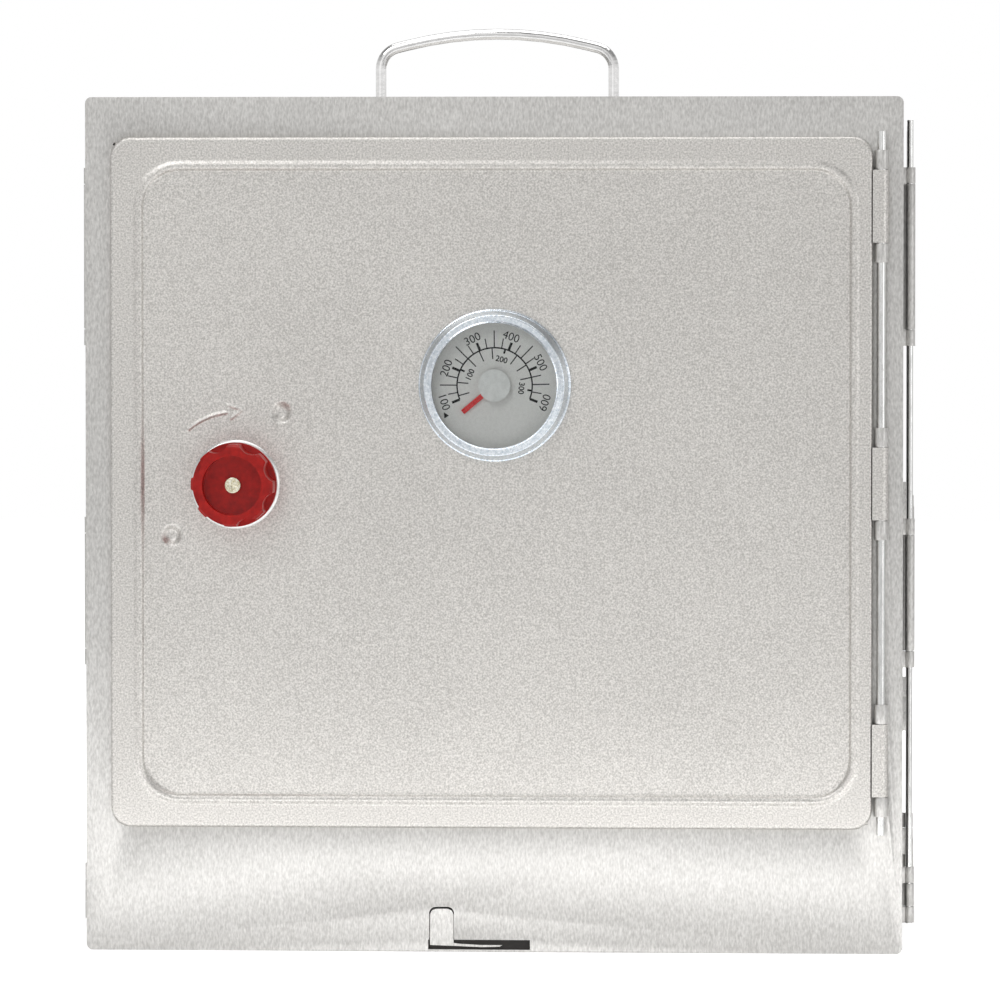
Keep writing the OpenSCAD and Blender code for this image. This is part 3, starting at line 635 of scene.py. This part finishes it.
def lathe(name, profile, slot, body, at, sides=96):
    """A turned piece round an axis out of the door. profile lists (radius, height)."""
    join = 0.0005
    bm = bmesh.new()
    rings = []
    for r, h in profile:
        ring = []
        for i in range(sides):
            a = 2 * math.pi * i / sides
            ring.append(bm.verts.new(((at[0] + r * math.cos(a)) * M, (PLATE_Y - h) * M,
                                      (at[1] + r * math.sin(a)) * M)))
        rings.append(ring)
    for low, high in zip(rings, rings[1:]):
        for i in range(sides):
            j = (i + 1) % sides
            bm.faces.new((low[i], low[j], high[j], high[i]))
    bmesh.ops.remove_doubles(bm, verts=bm.verts, dist=join * M)
    bmesh.ops.recalc_face_normals(bm, faces=bm.faces)
    mesh = bpy.data.meshes.new(name)
    bm.to_mesh(mesh)
    bm.free()
    smooth_by_angle(mesh, 35)
    return make_object(name, mesh, slot, body)


def rounded_profile(points, r, steps=4):
    """The open profile with its corners rounded."""
    at_most = 0.45
    result = [points[0]]
    for before, point, after in zip(points, points[1:], points[2:]):
        a, b, c = Vector(before), Vector(point), Vector(after)
        near = min(r, (a - b).length * at_most, (c - b).length * at_most)
        start, end = b + (a - b).normalized() * near, b + (c - b).normalized() * near
        for i in range(steps + 1):
            t = i / steps
            result.append(tuple((1 - t) ** 2 * start + 2 * t * (1 - t) * b + t * t * end))
    return result + [points[-1]]


def thermometer():
    # From the bore round the flange, over the rounded rim and down inside the lip
    rim = rounded_profile([(24.1, 5.15), (24.1, 0.05), (28.45, 0.05), (28.45, 1.1), (27.7, 1.3),
                           (27.5, 3.6), (26.0, 5.95), (23.9, 5.5), (23.25, 5.95), (23.25, 5.2),
                           (24.1, 5.15)], 0.5)
    bezel = lathe("bezel_spun", rim, "bezel_aluminium", "door", GAUGE, sides=128)
    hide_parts("thermometer_bezel")
    dial_scale()
    # The hub's flat cap, hollowed round a small stud
    cap = rounded_profile([(0.0, 1.95), (5.9, 1.95), (5.9, 3.3), (5.5, 3.48), (2.3, 3.3),
                           (2.0, 3.0), (1.5, 3.0), (1.3, 3.42), (0.0, 3.42)], 0.25)
    lathe("hub_cap", cap, "hub_plastic", "needle", GAUGE, sides=64)


# Knob, its bright seat and the screw

def knob():
    soften("latch_knob", 0.75, 4)
    bore, rim, shoulder, foot, rise, face = 6.2, 16.6, 15.9, 0.03, 0.3, 0.88
    seat = [(bore, foot), (rim, foot), (rim, rise), (shoulder, face), (bore, face)]
    lathe("knob_seat", rounded_profile(seat, 0.25), "latch_steel", "door", KNOB)
    soften("knob_screw", 0.15)


# Foot of the front frame: the tab bent up in its notch, and behind the slot a near-black plate that
# is painted shade for the unlit inside

def plate(name, outline, behind, thick, ink=None):
    """A flat plate behind the front sheet, from its outline's (x, z) corners."""
    y0, y1 = FACE_Y + behind, FACE_Y + behind + thick
    points = [(x * M, y * M, z * M) for y in (y0, y1) for x, z in outline]
    n = len(outline)
    faces = [list(range(n)), list(range(2 * n - 1, n - 1, -1))]
    faces += [(i, i + n, (i + 1) % n + n, (i + 1) % n) for i in range(n)]
    mesh = bpy.data.meshes.new(name)
    mesh.from_pydata(points, [], faces)
    bm = bmesh.new()
    bm.from_mesh(mesh)
    bmesh.ops.recalc_face_normals(bm, faces=bm.faces)
    bm.to_mesh(mesh)
    bm.free()
    return make_object(name, mesh, "aluminised_steel", "frame", ink=ink)


def foot_slot():
    side_gap, top_gap, bend = 0.25, 0.8, 2.2
    cut = 0.3 * bend
    left, right = NOTCH[0][0] + side_gap, NOTCH[1][0] - side_gap
    top = NOTCH[1][1] - top_gap
    tab = [(left, 2.4), (left, top - bend), (left + cut, top - cut), (left + bend, top),
           (right - bend, top), (right - cut, top - cut), (right, top - bend), (right, 3.2)]
    # The tab's curved lip runs on to the right inside the slot
    tongue = [(-12.5, 2.9), (-5.0, 2.5), (3.4, 2.45), (2.4, 1.9), (-4.0, 1.7), (-14.5, 2.1)]
    plate("foot_tab", tab + tongue, 0.9, 0.5)
    over = 0.5
    (x0, z0), (x1, z1) = SLOT
    dark = [(x0 - over, z0 - over), (x1 + over, z0 - over), (x1 + over, z1 + over),
            (x0 - over, z1 + over)]
    # Painted shade: this near-black plate stands in for the unlit inside behind the slot
    plate("foot_shadow", dark, 1.9, 0.4, ink="shadow_gap")


# Build

front_shell()
foot_slot()
door_skin()
thermometer()
knob()
EASED = {0.35: ("top_panel", "bottom_panel", "back_tray"),
         0.25: ("left_front_wall", "left_rear_wall", "right_front_wall", "right_rear_wall",
                "latch_arm", "latch_nut"),
         0.15: ("rack_clips", "rear_feet")}
for ease_width, nodes in EASED.items():
    for name in nodes:
        soften(name, ease_width)

for name, node in frame["nodes"].items():
    node.data.materials.clear()
    node.data.materials.append(MATERIALS[SLOT_OF[name]])


# Stage, light and camera, in metres

def area_light(name, at, look, size, power):
    data = bpy.data.lights.new(name, "AREA")
    data.shape = "RECTANGLE"
    data.size, data.size_y = size
    data.energy = power
    obj = bpy.data.objects.new(name, data)
    obj.location = at
    obj.rotation_euler = (Vector(look) - Vector(at)).to_track_quat("-Z", "Y").to_euler()
    obj.visible_camera = False
    bpy.context.scene.collection.objects.link(obj)


def floor_material():
    """White where the camera, metal or glass sees it, with the object's shadow on it.

    The glow shows white but lights nothing. It is weaker near the object, where the shadow falls.
    """
    white_paint = (0.9, 0.9, 0.9, 1)
    shadow_span, shadow_glow = (0.16, 0.4), (0.55, 1.0)
    metal_span, metal_glow = (0.15, 0.8), (0.75, 0.3)
    mat, tree = new_material("floor_white")
    out = add(tree, "ShaderNodeOutputMaterial")
    white = add(tree, "ShaderNodeBsdfDiffuse", Color=white_paint)
    glow = add(tree, "ShaderNodeEmission")
    where = add(tree, "ShaderNodeTexCoord")
    far = add(tree, "ShaderNodeVectorMath", operation="LENGTH")
    tree.links.new(where.outputs["Object"], far.inputs[0])
    distance = far.outputs["Value"]
    rays = add(tree, "ShaderNodeLightPath").outputs
    direct = calc(tree, "ADD", rays["Is Camera Ray"], rays["Is Transmission Ray"])
    in_metal = map_range(tree, distance, metal_span, metal_glow)
    seen = calc(tree, "MULTIPLY_ADD", rays["Is Glossy Ray"], in_metal, direct)
    rise = map_range(tree, distance, shadow_span, shadow_glow)
    tree.links.new(calc(tree, "MULTIPLY", rise, seen), glow.inputs["Strength"])
    both = add(tree, "ShaderNodeAddShader")
    tree.links.new(white.outputs["BSDF"], both.inputs[0])
    tree.links.new(glow.outputs["Emission"], both.inputs[1])
    tree.links.new(both.outputs["Shader"], out.inputs["Surface"])
    return mat


def build_floor():
    reach = 4
    corners = [(-reach, -reach, 0), (reach, -reach, 0), (reach, reach, 0), (-reach, reach, 0)]
    mesh = bpy.data.meshes.new("floor")
    mesh.from_pydata(corners, [], [(0, 1, 2, 3)])
    mesh.materials.append(floor_material())
    floor = bpy.data.objects.new("floor", mesh)
    bpy.context.scene.collection.objects.link(floor)


def build_world():
    """A room that is white up to eye level and grey above, and lights less than it shows."""
    lighting = 0.3
    white_up_to, white = 0.53, (1, 1, 1, 1)
    grey_from, grey = 0.8, (0.3, 0.3, 0.3, 1)
    world = bpy.data.worlds.new("room")
    bpy.context.scene.world = world
    world.use_nodes = True
    tree = world.node_tree
    tree.nodes.clear()
    out = add(tree, "ShaderNodeOutputWorld")
    seen = add(tree, "ShaderNodeBackground", Strength=1.0)
    room = add(tree, "ShaderNodeBackground", Strength=lighting)
    where = add(tree, "ShaderNodeTexCoord")
    parts = add(tree, "ShaderNodeSeparateXYZ")
    tree.links.new(where.outputs["Generated"], parts.inputs["Vector"])
    height = map_range(tree, parts.outputs["Z"], (-1, 1), (0, 1))
    tone = add(tree, "ShaderNodeValToRGB")
    low, high = tone.color_ramp.elements
    low.position, low.color = white_up_to, white
    high.position, high.color = grey_from, grey
    tree.links.new(height, tone.inputs["Fac"])
    tree.links.new(tone.outputs["Color"], room.inputs["Color"])
    tree.links.new(tone.outputs["Color"], seen.inputs["Color"])
    rays = add(tree, "ShaderNodeLightPath").outputs
    direct = calc(tree, "ADD", rays["Is Camera Ray"], rays["Is Transmission Ray"])
    shown = calc(tree, "ADD", direct, rays["Is Glossy Ray"], clamp=True)
    mix = add(tree, "ShaderNodeMixShader")
    tree.links.new(shown, mix.inputs["Fac"])
    tree.links.new(room.outputs["Background"], mix.inputs[1])
    tree.links.new(seen.outputs["Background"], mix.inputs[2])
    tree.links.new(mix.outputs["Shader"], out.inputs["Surface"])


def build_camera():
    """A long lens in front, a little to the right and above."""
    camera = bpy.data.cameras.new("camera")
    camera.lens = 251.8
    camera.sensor_width = 36
    camera.clip_end = 20
    obj = bpy.data.objects.new("camera", camera)
    obj.location = (0.152, -2.7505, 0.262)
    look = Vector((0.0026, -0.1505, 0.1689))
    obj.rotation_euler = (look - obj.location).to_track_quat("-Z", "Y").to_euler()
    bpy.context.scene.collection.objects.link(obj)
    bpy.context.scene.camera = obj


MIDDLE = (0, -0.15, 0.16)
# Each lamp's name, place, aim, size and power in watts
LAMPS = (("key", (-0.55, -1.15, 1.25), MIDDLE, (0.7, 0.7), 6.5),
         ("front", (-0.5, -3.1, 0.9), MIDDLE, (1.6, 1.2), 2.0),
         ("low_front", (0.0, -0.29, 0.012), (0, -0.15, 0.004), (0.62, 0.018), 0.13),
         ("right_strip", (1.25, -0.95, 0.25), MIDDLE, (0.35, 1.0), 2.4),
         ("over", (0.2, 0.1, 1.6), (0, 0, 0), (1.6, 1.6), 18))

build_floor()
build_world()
build_camera()
for lamp in LAMPS:
    area_light(*lamp)
bpy.context.scene.view_settings.view_transform = "Standard"
